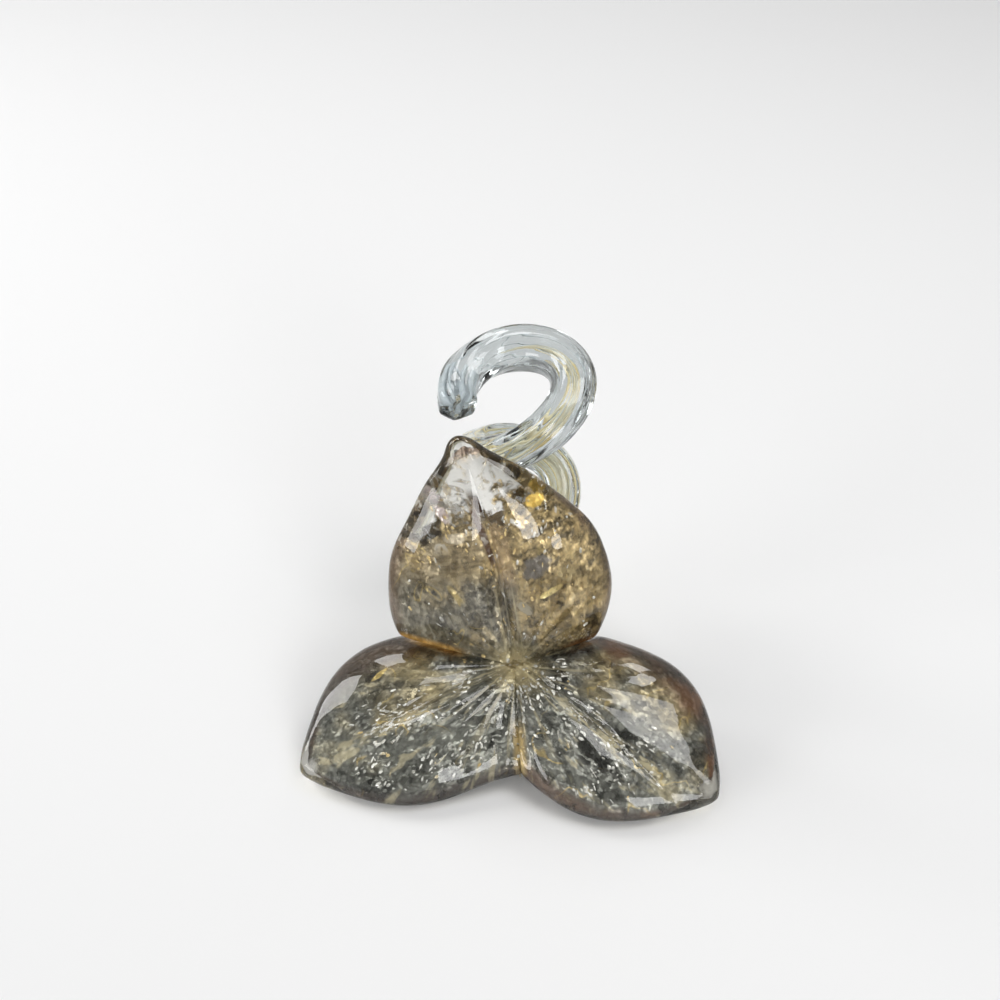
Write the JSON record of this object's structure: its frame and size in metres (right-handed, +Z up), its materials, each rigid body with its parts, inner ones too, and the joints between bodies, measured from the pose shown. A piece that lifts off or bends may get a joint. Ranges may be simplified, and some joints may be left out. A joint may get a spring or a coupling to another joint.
{
  "type": "art glass flower ornament",
  "caption": "Solid art glass flower that leans back on its lower petals and a coiled, hooked rod stem, with silver and amber foil cased in clear petals; a shelf ornament or paperweight.",
  "frame": {"origin": "Under the middle of the bounding box, on the surface that the ornament rests on.", "axes": "+Z is up, +X is to the right as seen from in front, and the flower faces -Y and upward."},
  "size_m": [0.1206, 0.1208, 0.0927],
  "materials": {
    "clear_petal_glass": "fire-polished clear glass with an amber tint",
    "foil_glass": "crackled silver and amber foil in glass",
    "heart_glass": "pinched golden glass",
    "clear_stem_glass": "fire-polished clear glass with a grey-blue tint",
    "thread_glass": "cream and gold threads twisted in glass"
  },
  "bodies": {
    "root": {"petal_top_casing": "clear_petal_glass", "petal_left_casing": "clear_petal_glass", "petal_right_casing": "clear_petal_glass", "petal_top_core": "foil_glass", "petal_left_core": "foil_glass", "petal_right_core": "foil_glass", "heart": "heart_glass", "stem_casing": "clear_stem_glass", "stem_core": "thread_glass"}
  },
  "joints": []
}
